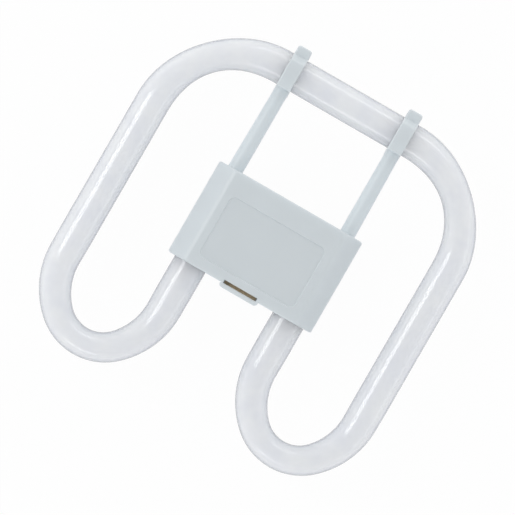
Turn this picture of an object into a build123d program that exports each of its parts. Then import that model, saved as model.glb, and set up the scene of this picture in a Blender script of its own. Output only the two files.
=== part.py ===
from build123d import *

import os
from math import atan2, ceil, degrees, pi, radians, sin, tan

# Square compact fluorescent lamp, in millimetres.
# The lamp lies face up on the rim of its cap. The origin is the middle of that rim, midway between
# the two pins. +Z leaves through the lamp's front, and +Y points at the cross run of the glass.

tiny = 0.01               # tolerance for picking edges and corners

# Housing
body_w = 60.4
body_h = 38.3
body_back_z = 9.5
wall = 1.6
front_room = 2.5          # from the glass to the front
side_room = 2.95          # from the glass to an upright side
bed_t = 0.9               # from the glass to the inside of the back
front_slope = 6.7         # width of each slope between the front and a side
back_slope = 3.8
side_slope = 45.0         # degrees
front_turn_r = 3.0        # from the front to a slope
side_turn_r = 2.5         # from a slope to an upright side
edge_r = 0.8
lip_t = 0.7               # lip of the rear shell inside the front cover
lip_h = 1.2
lip_gap = 0.1
tube_fit = 0.1            # between the glass and the plastic round it

# Glass tube, along its centreline
tube_d = 13.0             # outside diameter of the straight glass
tube_z = body_back_z + wall + bed_t + tube_d / 2    # height of the tube's centre plane
leg_x = body_w / 2 - side_room - tube_d / 2         # the two legs that enter the housing
side_x = 62.45            # the two long side runs
cross_y = 60.4            # the cross run that the arms hold
corner_r = 34.8           # bend radius of the two top corners
bend_start_y = -38.7      # where a leg or a side run turns into its U-bend
bend_drop = 25.5          # how far a U-bend's centreline drops below its start
bend_crown_r = 17.6       # radius at the bottom of a U-bend
bend_run_in = 9.0         # straight stretch over which the glass starts to flatten
corner_w = 11.4           # width in the plane at the middle of a corner
bend_w = 11.0             # width in the plane at the bottom of a U-bend
bend_h = 13.2             # height across the plane where the glass is bent
station_l = 6.2           # longest step between two sections of a bend

# Pressed ends of the tube, inside the housing
glass_end_y = 1.0         # where the round glass ends and the press begins
press_taper = 5.0
press_l = 3.0
press_w = 10.0
press_step = 0.3          # step from the end of the taper in to the press's sides
press_t = 3.4
tip_d = 2.6               # sealed-off exhaust tip
tip_l = 3.4
lead_gap = 3.4            # distance from the tip's axis to each lead

# The front and the split between the two halves follow the glass
body_front_z = tube_z + tube_d / 2 + front_room
split_z = tube_z

# Label recess in the front, left bare
label_w = 39.6
label_h = 24.8
label_y = -2.2
label_r = 2.4
label_depth = 0.3

# Slot over the board, and the bulge of the lower wall round it
slot_w = 13.7
slot_h = 1.4
slot_inset = 1.35         # from the lower edge of the front up to the slot's far side
slot_wall = 1.1           # wall of the bulge beside the slot
bulge_wall = 1.6          # wall of the bulge below the slot
bulge_r = 1.4
slot_top_y = -body_h / 2 + slot_inset

# Support arms and the clips over the cross run
arm_root_x = 23.7
arm_end_x = 23.4
arm_rise = 3.0            # from the tube's centre plane to an arm's axis
arm_root_d = 6.0
arm_end_d = 5.5
arm_root_sink = (wall - lip_t - lip_gap) / 2        # length of the arm inside the top wall
arm_end_sink = 0.3        # length of the arm inside the clip
arm_z = tube_z + arm_rise
clip_w = 5.7
clip_r = 0.8
clip_front = tube_d / 2 + 1.8       # these sizes of the clip are taken from the tube's axis
clip_near = tube_d / 2 + 0.5        # step from the arm up to the strap
clip_heel = tube_d / 2 + 2.5        # back of the leg under the arm
clip_turn = tube_d / 2 - 2.3        # where the strap turns down to the lip
clip_lip_root = tube_d / 2 - 0.1
clip_lip_front = tube_d / 2 - 2.0
clip_tip = tube_d / 2 + 3.6
clip_far = tube_d / 2 + 1.8         # outside of the far leg
clip_lip_t = 1.7
clip_tip_r = 0.7
clip_mouth = 3.0          # how far the two legs reach past the tube's centre plane
clip_mouth_r = 0.5

# Cap boss, its shroud and the two pins
boss_w = 32.0
boss_h = 22.0
boss_r = 2.5
shroud_wall = 1.8
shroud_depth = 8.0
shroud_in_r = 1.2
catch_w = 8.0             # catch grooves in the two ends of the boss
catch_h = 2.0
catch_depth = 0.9
catch_z = 4.2
pin_pitch = 8.0
pin_d = 2.35
pin_recess = 0.8          # the pins stop this far inside the rim
pin_tip = 0.6
pin_shank_d = 2.9         # thicker stretch that is pressed into the shroud's floor
pin_fit = 0.05
pin_flange_w = 4.0        # square flange on the shroud's floor
pin_flange_t = 0.8
pin_cup_d = 2.6
pin_cup_l = 2.4
pin_cup_bore = 1.0
pin_cup_depth = 2.0

# Saddle ribs and the soft beds of the glass
saddle_t = 1.4
saddle_gap = 0.7          # from the bed to the rib
saddle_reach = 7.35       # from a leg's axis to the free end of its rib
bed_w = 8.0
bed_l = 8.0
bed_gap = 4.15            # from the lower wall to the bed
bed_rise = 1.0            # how far the bed climbs the glass
bed_fit = 0.02
bed_y = -body_h / 2 + wall + bed_gap + bed_l / 2
saddle_y = bed_y + bed_l / 2 + saddle_gap + saddle_t / 2

# Board under the front, with its tongue in the bulge
board_side_gap = 1.25     # from the board to the glass beside it
board_top_gap = 2.55      # from the board to the upper wall
board_bottom_gap = 0.75
board_drop = 3.1          # from the front down to the board
board_t = 1.6
board_r = 1.5
board_w = 2 * (leg_x - tube_d / 2 - board_side_gap)
board_top_y = body_h / 2 - wall - board_top_gap
board_bottom_y = -body_h / 2 + wall + board_bottom_gap
board_top_z = body_front_z - board_drop
tongue_w = 13.0
tongue_gap = 0.15
post_w = 2.0              # the posts' square pins
post_boss_w = 4.0
post_fit = 0.1
post_poke = 1.0           # how far a post's pin stands out behind the board
post_inset_x = 3.5        # from the board's edges to the posts
post_inset_top = 2.6
post_inset_bottom = 4.2
post_bulb_gap = 1.2       # from the bulb to the low post's pin
hole_w = 0.9              # punched wire holes in the board
column_inset_x = 1.4      # columns of the rear shell under the board's low corners
column_inset_y = 2.2
column_w = 2.4
column_gap = 0.1

# Glow starter bulb, under the board
bulb_d = 7.4
bulb_l = 14.8
bulb_side_gap = 0.8       # from the bulb to the left column
bulb_low_gap = 0.6        # from the board's lower edge to the bulb's end
bulb_press_l = 2.4
bulb_press_w = 5.0
bulb_press_t = 2.2
bulb_gap = 0.25           # between the bulb and the board's underside
bulb_wire_gap = 1.5
bulb_edge = 1.3
bulb_x = -board_w / 2 + column_inset_x + column_w / 2 + bulb_side_gap + bulb_d / 2
bulb_low_y = board_bottom_y + bulb_low_gap
bulb_press_y = bulb_low_y + bulb_l

# Suppressor capacitor, beside the bulb
cap_l = 10.0
cap_w = 4.6
cap_h = 7.6
cap_inset_x = 5.0         # from the board's right edge to the capacitor's middle
cap_inset_y = 12.8        # from the board's lower edge
cap_r = 1.4
cap_gap = 0.25
cap_wire_gap = 3.75
cap_x = board_w / 2 - cap_inset_x
cap_y = board_bottom_y + cap_inset_y

# Wires and sleeves, drawn with eight flats and bent in short straight steps
wire_d = 0.6
thin_wire_d = 0.5
wire_bend = 1.0           # from a bend's corner to each end of its short step
sleeve_d = 1.5
sleeve_fit = 0.05
sleeve_end_gap = 0.3
lead_out_y = 2.4          # straight stretch of a lead past the press
pin_lead_pass = 3.0       # how far the pin leads pass above the starter leads
pin_lead_swing = 3.0      # how far beside its cup a pin lead turns down to it
pin_lead_rise = 2.0       # how far above its cup it arrives
starter_lead_inset = 1.8  # from the board's side to the holes of the inner leads
starter_lead_drop = 7.0   # from the board's upper edge to those holes
wire_poke = 0.8           # how far a wire stands out of the board's far side
wire_stand_off = 0.05     # between a wire's end and the face that it comes out of
starter_lead_x = board_w / 2 - starter_lead_inset
starter_lead_y = board_top_y - starter_lead_drop


def on_left(shape):
    """The same shape on the lamp's left side."""
    return mirror(shape, Plane.YZ)


def block(width, depth, height, centre_x, centre_y, low_z):
    """A box by its footprint and the height of its underside."""
    return Pos(centre_x, centre_y, low_z) * Box(
        width, depth, height, align=(Align.CENTER, Align.CENTER, Align.MIN)
    )


def rounded_block(width, depth, height, radius, centre_y, low_z):
    """A block in the middle of the lamp's width, with rounded upright corners."""
    outline = Pos(0, centre_y, low_z) * RectangleRounded(width, depth, radius)
    return extrude(outline, height)


# Glass tube

def u_bend_path():
    """Centreline of the right U-bend: a three-arc arch, taller than it is wide, with straight run-ins."""
    half_span = (side_x - leg_x) / 2
    middle_x = (side_x + leg_x) / 2
    crown_drop = bend_drop - bend_crown_r
    flank_r = (half_span**2 + crown_drop**2 - bend_crown_r**2) / (2 * (half_span - bend_crown_r))
    flank_x = flank_r - half_span
    swing = degrees(atan2(crown_drop, flank_x))
    start = bend_start_y
    return Wire([
        Edge.make_line((leg_x, start + bend_run_in), (leg_x, start)),
        CenterArc((middle_x + flank_x, start), flank_r, 180, swing).edge(),
        CenterArc((middle_x, start - crown_drop), bend_crown_r, 180 + swing, 180 - 2 * swing).edge(),
        CenterArc((middle_x - flank_x, start), flank_r, 360 - swing, swing).edge(),
        Edge.make_line((side_x, start), (side_x, start + bend_run_in)),
    ])


def corner_path():
    """Centreline of the right top corner."""
    centre = (side_x - corner_r, cross_y - corner_r)
    return Wire([CenterArc(centre, corner_r, 0, 90).edge()])


def bent_glass(path, middle_w, middle_h):
    """Loft the glass along one bend, round at both ends and oval in the middle.

    The sections stand close together and are joined by ruled faces, which keeps the facets few.
    """
    stations = ceil(path.length / station_l)
    sections = []
    for station in range(stations + 1):
        share = station / stations
        oval = sin(pi * share) ** 2
        width = tube_d - (tube_d - middle_w) * oval
        height = tube_d + (middle_h - tube_d) * oval
        place = Plane(path.position_at(share), x_dir=(0, 0, 1), z_dir=path.tangent_at(share))
        section = Circle(tube_d / 2) if station in (0, stations) else Ellipse(height / 2, width / 2)
        sections.append(place * section)
    return loft(sections, ruled=True)


def straight_glass(start, end):
    """Round glass between two points of the centreline."""
    run = Edge.make_line(start, end)
    return extrude(Plane(run.position_at(0), z_dir=run.tangent_at(0)) * Circle(tube_d / 2), run.length)


def pressed_end():
    """The right leg's end: the glass tapers to a flat press round the leads, with the exhaust tip."""
    round_end = Plane((leg_x, glass_end_y, 0), x_dir=(1, 0, 0), z_dir=(0, 1, 0))
    press_start = round_end.offset(press_taper)
    tip_start = press_start.offset(press_l)
    taper = round_end * Cone(
        tube_d / 2, press_w / 2 + press_step, press_taper, align=(Align.CENTER, Align.CENTER, Align.MIN)
    )
    press = extrude(press_start * SlotOverall(press_w, press_t), press_l)
    tip = extrude(tip_start * Circle(tip_d / 2), tip_l)
    return taper + press + tip


def discharge_tube():
    leg = straight_glass((leg_x, glass_end_y), (leg_x, bend_start_y + bend_run_in))
    bend = bent_glass(u_bend_path(), bend_w, bend_h)
    side = straight_glass((side_x, bend_start_y + bend_run_in), (side_x, cross_y - corner_r))
    corner = bent_glass(corner_path(), corner_w, bend_h)
    half_cross = straight_glass((side_x - corner_r, cross_y), (0, cross_y))
    right = pressed_end() + leg + bend + side + corner + half_cross
    return Pos(0, 0, tube_z) * (right + on_left(right))


# Housing

def sharp_section():
    """Section of the housing across its width, drawn with X across and Y up to the front."""
    half = body_w / 2
    front = half - front_slope
    back = half - back_slope
    rise = tan(radians(side_slope))
    outline = Polyline(
        (-half, body_back_z + back_slope * rise),
        (-half, body_front_z - front_slope * rise),
        (-front, body_front_z),
        (front, body_front_z),
        (half, body_front_z - front_slope * rise),
        (half, body_back_z + back_slope * rise),
        (back, body_back_z),
        (-back, body_back_z),
        close=True,
    )
    return make_face(outline)


def rounded_section():
    section = sharp_section()
    front_turns = section.vertices().group_by(Axis.Y)[-1]
    section = fillet(front_turns, front_turn_r)
    side_turns = [v for v in section.vertices() if abs(abs(v.X) - body_w / 2) < tiny]
    return fillet(side_turns, side_turn_r)


def along_y(section, length):
    """Extrude a housing section both ways from the middle of the body."""
    return extrude(Plane.XZ * section, length / 2, both=True)


def housing_outside():
    outside = along_y(rounded_section(), body_h)
    ends = outside.edges().filter_by(lambda e: abs(abs(e.center().Y) - body_h / 2) < tiny)
    return fillet(ends, edge_r)


def housing_cavity():
    return along_y(offset(sharp_section(), -wall), body_h - 2 * wall)


def half_space(low_z, high_z):
    """All of the lamp's width and height between two levels."""
    return block(4 * side_x, 4 * side_x, high_z - low_z, 0, 0, low_z)


def leg_holes():
    """Room for both legs of the tube and their fit, to cut from the walls and ribs that they pass."""
    start = Plane((leg_x, -body_h, tube_z), z_dir=(0, 1, 0))
    bore = extrude(start * Circle(tube_d / 2 + tube_fit), body_h + glass_end_y)
    return bore + on_left(bore)


def lip_ring(thickness, height):
    """A ring on the split plane, from the cavity's side outwards into the wall."""
    inner_w = body_w - 2 * wall
    inner_h = body_h - 2 * wall
    ring = Rectangle(inner_w + 2 * thickness, inner_h + 2 * thickness) - Rectangle(inner_w, inner_h)
    return extrude(Pos(0, 0, split_z) * ring, height)


def saddle_ribs():
    """One rib across each leg of the tube, from the cavity's side wall inwards."""
    free_end_x = leg_x - saddle_reach
    rib_w = body_w / 2 - free_end_x
    rib = block(rib_w, saddle_t, body_front_z, free_end_x + rib_w / 2, saddle_y, 0)
    return (rib + on_left(rib)) & housing_cavity()


def board_posts():
    """Places of the posts that locate the board."""
    x = board_w / 2 - post_inset_x
    high_y = board_top_y - post_inset_top
    low_x = bulb_x + bulb_d / 2 + post_bulb_gap + post_w / 2
    return [(-x, high_y), (x, high_y), (low_x, board_bottom_y + post_inset_bottom)]


def front_cover():
    cover = housing_outside() - housing_cavity() + saddle_ribs()
    cover &= half_space(split_z, body_front_z + wall)
    cover += slot_bulge()
    cover -= lip_ring(lip_t + lip_gap, lip_h + lip_gap)
    cover -= board_slot()
    cover -= leg_holes()
    cover -= label_recess()
    for x, y in board_posts():
        cover += board_post(x, y)
    arm = support_arm()
    return cover + arm + on_left(arm)


def label_recess():
    outline = Pos(0, label_y, body_front_z - label_depth) * RectangleRounded(label_w, label_h, label_r)
    return extrude(outline, label_depth + wall)


def slot_bulge():
    """The lower wall steps out round the slot, with rounded ends."""
    width = slot_w + 2 * slot_wall
    bottom = slot_top_y - slot_h - bulge_wall
    depth = -body_h / 2 + wall - bottom
    height = body_front_z - split_z
    return rounded_block(width, depth, height, bulge_r, bottom + depth / 2, split_z)


def board_slot():
    """The slot in the front, and the room behind it that opens into the housing."""
    slot = block(slot_w, slot_h, body_front_z, 0, slot_top_y - slot_h / 2, split_z)
    room_top_y = -body_h / 2 + wall
    room_h = room_top_y - (slot_top_y - slot_h)
    room_z = body_front_z - wall
    room = block(slot_w, room_h, room_z - split_z, 0, room_top_y - room_h / 2, split_z)
    return slot + room


def board_post(x, y):
    """A shouldered post: the board lies against the shoulder, with the pin through its hole."""
    inner_z = body_front_z - wall
    shoulder = block(post_boss_w, post_boss_w, inner_z - board_top_z, x, y, board_top_z)
    pin_l = board_t + post_poke
    return shoulder + block(post_w, post_w, pin_l, x, y, board_top_z - pin_l)


def clip_profile():
    """Section of a clip, with the tube's axis at the origin, X towards the lamp's top and Y to its front."""
    outline = Polyline(
        (-clip_heel, -clip_mouth),
        (-clip_heel, arm_z - tube_z),
        (-clip_near, arm_z - tube_z),
        (-clip_near, clip_front),
        (clip_turn, clip_front),
        (clip_lip_root, clip_lip_front),
        (clip_tip, clip_lip_front),
        (clip_tip, clip_lip_front - clip_lip_t),
        (clip_far, clip_lip_front - clip_lip_t),
        (clip_far, -clip_mouth),
        close=True,
    )
    section = make_face(outline)
    front = [v for v in section.vertices() if abs(v.Y - clip_front) < tiny]
    section = fillet(front, clip_r)
    tip = [v for v in section.vertices() if abs(v.X - clip_tip) < tiny]
    section = fillet(tip, clip_tip_r)
    section -= Circle(tube_d / 2 + tube_fit)
    mouth = [v for v in section.vertices() if abs(v.Y + clip_mouth) < tiny]
    return fillet(mouth, clip_mouth_r)


def support_arm():
    """The right arm: a tapered round rod from the top wall to the clip over the cross run."""
    root = Vector(arm_root_x, body_h / 2 - arm_root_sink, arm_z)
    end = Vector(arm_end_x, cross_y - clip_near + arm_end_sink, arm_z)
    along = end - root
    rod = Plane(root, z_dir=along) * Cone(
        arm_root_d / 2, arm_end_d / 2, along.length, align=(Align.CENTER, Align.CENTER, Align.MIN)
    )
    strap_plane = Plane((arm_end_x, cross_y, tube_z), x_dir=(0, 1, 0), z_dir=(1, 0, 0))
    strap = extrude(strap_plane * clip_profile(), clip_w / 2, both=True)
    tip_corners = strap.edges().filter_by(Axis.Z).group_by(Axis.Y)[-1]
    strap = fillet(tip_corners, clip_r)
    return rod + strap


def rear_shell():
    shell = housing_outside() - housing_cavity() + saddle_ribs()
    shell &= half_space(body_back_z - wall, split_z)
    shell += lip_ring(lip_t, lip_h)
    shell -= leg_holes()
    boss = rounded_block(boss_w, boss_h, body_back_z + wall, boss_r, 0, 0)
    shroud = rounded_block(
        boss_w - 2 * shroud_wall, boss_h - 2 * shroud_wall, shroud_depth, shroud_in_r, 0, 0
    )
    shell += boss - shroud
    for side in (-1, 1):
        shell += board_column(side * (board_w / 2 - column_inset_x))
        shell -= block(2 * catch_depth, catch_w, catch_h, side * boss_w / 2, 0, catch_z)
        shell -= Pos(side * pin_pitch / 2, 0, body_back_z) * Cylinder(pin_shank_d / 2 + pin_fit, 4 * wall)
    return shell


def board_column(x):
    """A column that stands on the rear shell's floor and backs the board."""
    floor_z = body_back_z + wall / 2
    height = board_top_z - board_t - column_gap - floor_z
    return block(column_w, column_w, height, x, board_bottom_y + column_inset_y, floor_z)


def contact_pin():
    """The right pin: a turned pin through the floor of the shroud, with a flange and a solder cup inside."""
    flange_z = body_back_z + wall
    stem = Cylinder(pin_d / 2, shroud_depth - pin_recess, align=(Align.CENTER, Align.CENTER, Align.MIN))
    stem = Pos(0, 0, pin_recess) * chamfer(stem.edges().group_by(Axis.Z)[0], pin_tip)
    stem += Pos(0, 0, shroud_depth) * Cylinder(
        pin_shank_d / 2, flange_z - shroud_depth, align=(Align.CENTER, Align.CENTER, Align.MIN)
    )
    flange = block(pin_flange_w, pin_flange_w, pin_flange_t, 0, 0, flange_z)
    cup_z = flange_z + pin_flange_t
    cup = Pos(0, 0, cup_z) * Cylinder(
        pin_cup_d / 2, pin_cup_l, align=(Align.CENTER, Align.CENTER, Align.MIN)
    )
    bore = extrude(Pos(0, 0, cup_z + pin_cup_l) * eight_flats(pin_cup_bore), -pin_cup_depth)
    return Pos(pin_pitch / 2, 0, 0) * (stem + flange + cup - bore)


def glass_bed():
    """The right silicone bed, between the leg's underside and the rear shell."""
    floor_z = body_back_z + wall
    bed = block(bed_w, bed_l, tube_z - tube_d / 2 + bed_rise - floor_z, leg_x, bed_y, floor_z)
    return bed - Pos(leg_x, bed_y, tube_z) * Rot(90, 0, 0) * Cylinder(tube_d / 2 + bed_fit, 2 * bed_l)


# Board and what is on it

def wire_holes():
    """Places of the wire holes in the board."""
    holes = []
    for side in (-1, 1):
        holes.append((side * starter_lead_x, starter_lead_y))
        holes.append((bulb_x + side * bulb_wire_gap, bulb_wire_y()))
        holes.append((cap_x, cap_y + side * cap_wire_gap))
    return holes


def bulb_wire_y():
    """Where the bulb's wires turn up into the board."""
    return bulb_press_y + bulb_press_l + lead_out_y


def starter_board():
    low_z = board_top_z - board_t
    height = board_top_y - board_bottom_y
    middle_y = (board_top_y + board_bottom_y) / 2
    board = rounded_block(board_w, height, board_t, board_r, middle_y, low_z)
    tongue_low_y = slot_top_y - slot_h + tongue_gap
    tongue_h = board_bottom_y - tongue_low_y + board_r
    board += block(tongue_w, tongue_h, board_t, 0, tongue_low_y + tongue_h / 2, low_z)
    for x, y in board_posts():
        board -= block(post_w + 2 * post_fit, post_w + 2 * post_fit, board_t, x, y, low_z)
    for x, y in wire_holes():
        board -= block(hole_w, hole_w, board_t, x, y, low_z)
    return board


def bulb_z():
    return board_top_z - board_t - bulb_gap - bulb_d / 2


def starter_bulb():
    """A small sealed bulb, pressed flat at one end round its two wires."""
    low_end = Plane((0, bulb_low_y, 0), x_dir=(1, 0, 0), z_dir=(0, 1, 0))
    length = bulb_press_y - bulb_low_y
    glass = extrude(low_end * Circle(bulb_d / 2), length)
    glass = chamfer(glass.edges().group_by(Axis.Y)[0], bulb_edge)
    press = extrude(low_end.offset(length) * SlotOverall(bulb_press_w, bulb_press_t), bulb_press_l)
    return Pos(bulb_x, 0, bulb_z()) * (glass + press)


def capacitor_top_z():
    return board_top_z - board_t - cap_gap


def suppressor_capacitor():
    """A dipped block with rounded sides."""
    body = block(cap_w, cap_l, cap_h, cap_x, cap_y, capacitor_top_z() - cap_h)
    return fillet(body.edges().filter_by(Axis.Z), cap_r)


# Wires

def eight_flats(diameter):
    """Section of a thin wire or sleeve, as wide over its flats as the real one is round."""
    return RegularPolygon(diameter / 2, 8, major_radius=False)


def wire_path(*corners):
    """Centreline of a wire through its corners, each of them cut by one short step."""
    corners = [Vector(*corner) for corner in corners]
    points = [corners[0]]
    for before, corner, after in zip(corners, corners[1:], corners[2:]):
        points.append(corner + (before - corner).normalized() * wire_bend)
        points.append(corner + (after - corner).normalized() * wire_bend)
    return Polyline(*points, corners[-1])


def bent_wire(path, diameter):
    start = Plane(path.position_at(0), z_dir=path.tangent_at(0))
    return sweep(start * eight_flats(diameter), path=path, transition=Transition.RIGHT)


def sleeve_on(path):
    """A sleeve on the longest level run of a wire."""
    level = path.edges().filter_by(lambda e: abs(e.tangent_at(0).Z) < tiny)
    run = level.sort_by(SortBy.LENGTH)[-1]
    start = Plane(run.position_at(0), z_dir=run.tangent_at(0)).offset(sleeve_end_gap)
    ring = eight_flats(sleeve_d) - eight_flats(wire_d + 2 * sleeve_fit)
    return extrude(start * ring, run.length - 2 * sleeve_end_gap)


def press_end_y():
    return glass_end_y + press_taper + press_l


def pin_lead_path():
    """From the outer side of the right press, over the top of the housing and down into the pin's cup."""
    x = leg_x + lead_gap
    turn_y = press_end_y() + lead_out_y + pin_lead_pass
    cup_x = pin_pitch / 2
    cup_top = body_back_z + wall + pin_flange_t + pin_cup_l
    return wire_path(
        (x, press_end_y() + wire_stand_off, tube_z),
        (x, turn_y, tube_z),
        (cup_x + pin_lead_swing, turn_y, tube_z),
        (cup_x, 0, cup_top + pin_lead_rise),
        (cup_x, 0, cup_top - pin_cup_depth + wire_stand_off),
    )


def starter_lead_path():
    """From the inner side of the right press to its hole in the board."""
    x = leg_x - lead_gap
    turn_y = press_end_y() + lead_out_y
    return wire_path(
        (x, press_end_y() + wire_stand_off, tube_z),
        (x, turn_y, tube_z),
        (starter_lead_x, turn_y, tube_z),
        (starter_lead_x, starter_lead_y, tube_z),
        (starter_lead_x, starter_lead_y, board_top_z + wire_poke),
    )


def bulb_wire():
    """The wire on the right of the bulb's press, out and up through the board."""
    x = bulb_x + bulb_wire_gap
    path = wire_path(
        (x, bulb_press_y + bulb_press_l + wire_stand_off, bulb_z()),
        (x, bulb_wire_y(), bulb_z()),
        (x, bulb_wire_y(), board_top_z + wire_poke),
    )
    return bent_wire(path, thin_wire_d)


def capacitor_wire():
    """The capacitor's upper wire, straight up through the board."""
    low_z = capacitor_top_z() + wire_stand_off
    section = Pos(cap_x, cap_y + cap_wire_gap, low_z) * eight_flats(thin_wire_d)
    return extrude(section, board_top_z + wire_poke - low_z)


def build():
    """Every node of the lamp, by name."""
    pin = contact_pin()
    bed = glass_bed()
    pin_lead = bent_wire(pin_lead_path(), wire_d)
    starter_lead = bent_wire(starter_lead_path(), wire_d)
    pin_sleeve = sleeve_on(pin_lead_path())
    starter_sleeve = sleeve_on(starter_lead_path())
    wire = bulb_wire()
    upper_wire = capacitor_wire()
    return {
        "discharge_tube": discharge_tube(),
        "front_cover": front_cover(),
        "rear_shell": rear_shell(),
        "right_pin": pin,
        "left_pin": on_left(pin),
        "right_glass_bed": bed,
        "left_glass_bed": on_left(bed),
        "starter_board": starter_board(),
        "starter_bulb": starter_bulb(),
        "suppressor_capacitor": suppressor_capacitor(),
        "right_pin_lead": pin_lead,
        "left_pin_lead": on_left(pin_lead),
        "right_starter_lead": starter_lead,
        "left_starter_lead": on_left(starter_lead),
        "right_pin_lead_sleeve": pin_sleeve,
        "left_pin_lead_sleeve": on_left(pin_sleeve),
        "right_starter_lead_sleeve": starter_sleeve,
        "left_starter_lead_sleeve": on_left(starter_sleeve),
        "bulb_wire_right": wire,
        "bulb_wire_left": Pos(-2 * bulb_wire_gap, 0, 0) * wire,
        "capacitor_wire_upper": upper_wire,
        "capacitor_wire_lower": Pos(0, -2 * cap_wire_gap, 0) * upper_wire,
    }


os.makedirs("parts", exist_ok=True)
for name, shape in build().items():
    export_step(shape, f"parts/{name}.step")
    print(name, round(shape.volume, 1))
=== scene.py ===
from math import atan2, ceil, cos, pi, radians, sin, sqrt, tan

import bmesh
import bpy
from bpy.props import FloatProperty, FloatVectorProperty, PointerProperty
from mathutils import Matrix, Vector


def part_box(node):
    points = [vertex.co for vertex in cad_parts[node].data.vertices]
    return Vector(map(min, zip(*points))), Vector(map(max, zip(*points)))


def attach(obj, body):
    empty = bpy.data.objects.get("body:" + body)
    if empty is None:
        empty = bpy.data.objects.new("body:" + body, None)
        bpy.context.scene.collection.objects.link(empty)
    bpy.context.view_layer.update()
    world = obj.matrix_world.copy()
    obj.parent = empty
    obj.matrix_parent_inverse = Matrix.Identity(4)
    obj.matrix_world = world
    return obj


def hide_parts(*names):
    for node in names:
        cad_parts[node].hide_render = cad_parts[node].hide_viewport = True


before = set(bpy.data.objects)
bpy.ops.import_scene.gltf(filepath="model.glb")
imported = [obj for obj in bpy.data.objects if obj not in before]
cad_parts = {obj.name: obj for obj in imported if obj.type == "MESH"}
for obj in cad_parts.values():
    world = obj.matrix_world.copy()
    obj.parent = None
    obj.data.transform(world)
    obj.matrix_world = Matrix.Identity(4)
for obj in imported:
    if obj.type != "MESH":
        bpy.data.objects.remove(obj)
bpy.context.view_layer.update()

bl_info = {
    "name": "Square compact fluorescent lamp",
    "version": (1, 0, 0),
    "blender": (4, 5, 0),
    "location": "3D View > Sidebar > Square Lamp",
    "description": "Bent glass tube on a snap-together housing with two support arms and a two-pin cap",
    "category": "Add Mesh",
}

# The lamp lies face up on the rim of its cap. +Z leaves through its front, +Y points at the cross run.
mm = 0.001
tiny = 0.02 * mm          # tolerance for picking by place, and the overlap of joined blocks
square_on = 0.9           # how straight along an axis a picked face looks
bar_sides = 64            # sides of the glass and of round bars
bore_sides = 96           # sides of the round holes for the glass
pin_sides = 48            # sides of the pins and their holes
glass_low, glass_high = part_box("discharge_tube")
cover_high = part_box("front_cover")[1]
shell_low, shell_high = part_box("rear_shell")
tube_plane = (glass_low.z + glass_high.z) / 2
tube_r = 6.5 * mm
bend_start = -38.7 * mm
bend_w = 11.0 * mm


def linear(code):
    """An sRGB hex colour as linear red, green, blue and alpha."""
    channels = [int(code[i:i + 2], 16) / 255 for i in (1, 3, 5)]
    return tuple(c / 12.92 if c <= 0.04045 else ((c + 0.055) / 1.055) ** 2.4 for c in channels) + (1.0,)


def size(name, value, description):
    """A length in millimetres that the sidebar shows as a distance."""
    return FloatProperty(
        name=name, description=description, default=value * mm, unit="LENGTH", subtype="DISTANCE"
    )


def colour(name, code, description):
    """A colour that the sidebar shows as a swatch."""
    return FloatVectorProperty(
        name=name, description=description, default=linear(code), size=4, min=0, max=1, subtype="COLOR"
    )


# Sizes and colours

class GlassSizes(bpy.types.PropertyGroup):
    diameter: size("Diameter", 2 * tube_r / mm, "Outside diameter of the straight glass")
    level: size("Level", tube_plane / mm, "Height of the tube's centre plane")
    side_x: size("Side runs", (glass_high.x - tube_r) / mm, "Distance of the side runs from the middle")
    leg_x: size("Legs", 20.75, "Distance of the housed legs from the middle")
    cross_y: size("Cross run", (glass_high.y - tube_r) / mm, "Place of the cross run along the lamp")
    corner_r: size("Corner radius", 34.8, "Bend radius of the two top corners")
    bend_start_y: size("Bend start", bend_start / mm, "Where a leg or side run turns into its U-bend")
    bend_drop: size("Bend drop", (bend_start - bend_w / 2 - glass_low.y) / mm, "How far a U-bend drops")
    crown_r: size("Crown radius", 17.6, "Radius at the bottom of a U-bend")
    run_in: size("Run-in", 9.0, "Straight stretch where the glass starts to flatten")
    corner_w: size("Corner width", 11.4, "Width of the glass at the middle of a corner")
    bend_w: size("Bend width", bend_w / mm, "Width of the glass at the bottom of a U-bend")
    bend_h: size("Bend height", 13.2, "Height of the glass where it is bent")
    end_y: size("Round end", 1.0, "Where the round glass ends and the press begins")
    taper: size("Press taper", 5.0, "Length over which the end flattens")
    press_l: size("Press length", 3.0, "Length of the flat press")
    press_w: size("Press width", 10.0, "Width of the flat press")
    press_t: size("Press thickness", 3.4, "Thickness of the flat press")
    tip_d: size("Tip diameter", 2.6, "Diameter of the sealed-off exhaust tip")
    tip_l: size("Tip length", 3.4, "Length of the exhaust tip")


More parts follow.
